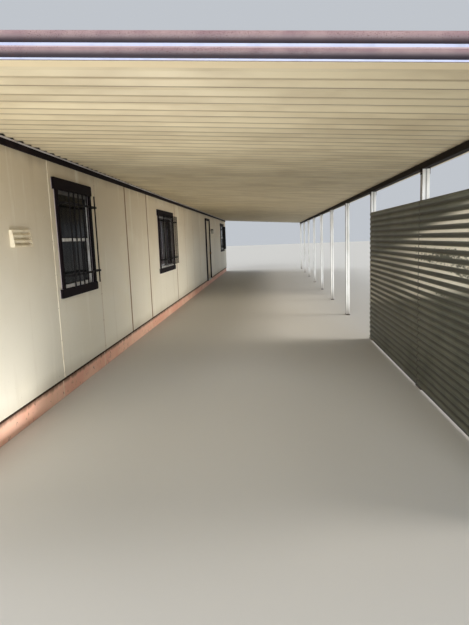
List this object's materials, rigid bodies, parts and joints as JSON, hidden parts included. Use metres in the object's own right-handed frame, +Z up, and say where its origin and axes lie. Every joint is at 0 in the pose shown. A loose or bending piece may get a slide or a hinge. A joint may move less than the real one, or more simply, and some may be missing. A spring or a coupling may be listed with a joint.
{
  "type": "lean-to carport",
  "caption": "Lean-to carport of roll-formed roof pans hung on a sided house wall and carried by an eave beam on posts, with corrugated side screens.",
  "frame": {"origin": "middle of the footprint, on the ground", "axes": "+X from the house wall to the posts, +Y along the drive from the near end to the far end, +Z up"},
  "size_m": [3.6203, 20.9158, 2.44],
  "materials": {
    "base_paint": "worn brick-red paint",
    "beam": "dark brown paint",
    "curtain": "dull plum cloth",
    "door": "cream paint",
    "door_frame": "dark brown paint",
    "fascia": "weathered mauve-brown paint",
    "glass": "dusty",
    "gutter": "weathered mauve-brown paint",
    "hanger": "dull",
    "hinge": "dull",
    "knob": "tarnished",
    "lamp": "black paint",
    "lamp_glass": "frosted",
    "post": "white paint",
    "post_fitting": "dark brown paint",
    "roof_pan": "semi-gloss cream paint",
    "screen": "dull grey-brown paint",
    "siding": "matt cream paint",
    "threshold": "worn",
    "trim": "dark brown paint",
    "vent": "matt cream paint",
    "wall_core": "plain",
    "window_frame": "mill finish"
  },
  "bodies": {
    "root": {"door_frame": "door_frame", "door_hinges": "hinge", "door_threshold": "threshold", "eave_beam": "beam", "eave_gutter": "gutter", "fascia_far": "fascia", "fascia_near": "fascia", "house_wall_far": "wall_core", "house_wall_near": "wall_core", "house_wall_over_door": "wall_core", "porch_lamp": "lamp", "porch_lamp_glass": "lamp_glass", "post_1": "post", "post_10": "post", "post_2": "post", "post_3": "post", "post_4": "post", "post_5": "post", "post_6": "post", "post_7": "post", "post_8": "post", "post_9": "post", "post_caps": "post_fitting", "post_feet": "post_fitting", "roof_hanger": "hanger", "roof_pans_1": "roof_pan", "roof_pans_2": "roof_pan", "roof_pans_3": "roof_pan", "roof_pans_4": "roof_pan", "screen_sheet_far": "screen", "screen_sheet_near": "screen", "siding_sheets": "siding", "wall_base": "base_paint", "wall_trim_board": "trim", "wall_vent": "vent", "window_1_casing": "trim", "window_1_frame": "window_frame", "window_1_glass": "glass", "window_2_casing": "trim", "window_2_curtains": "curtain", "window_2_frame": "window_frame", "window_2_glass": "glass", "window_3_casing": "trim", "window_3_frame": "window_frame", "window_3_glass": "glass"},
    "door": {"door_leaf": "door", "door_hinge_leaves": "hinge", "door_knobs": "knob"}
  },
  "joints": [
    {"name": "door_hinge", "type": "hinge", "parent": "root", "child": "door", "pos_m": [-1.68885, 3.1263, 0.1683], "axis": [0, 0, -1], "range_deg": [0, 90]}
  ]
}
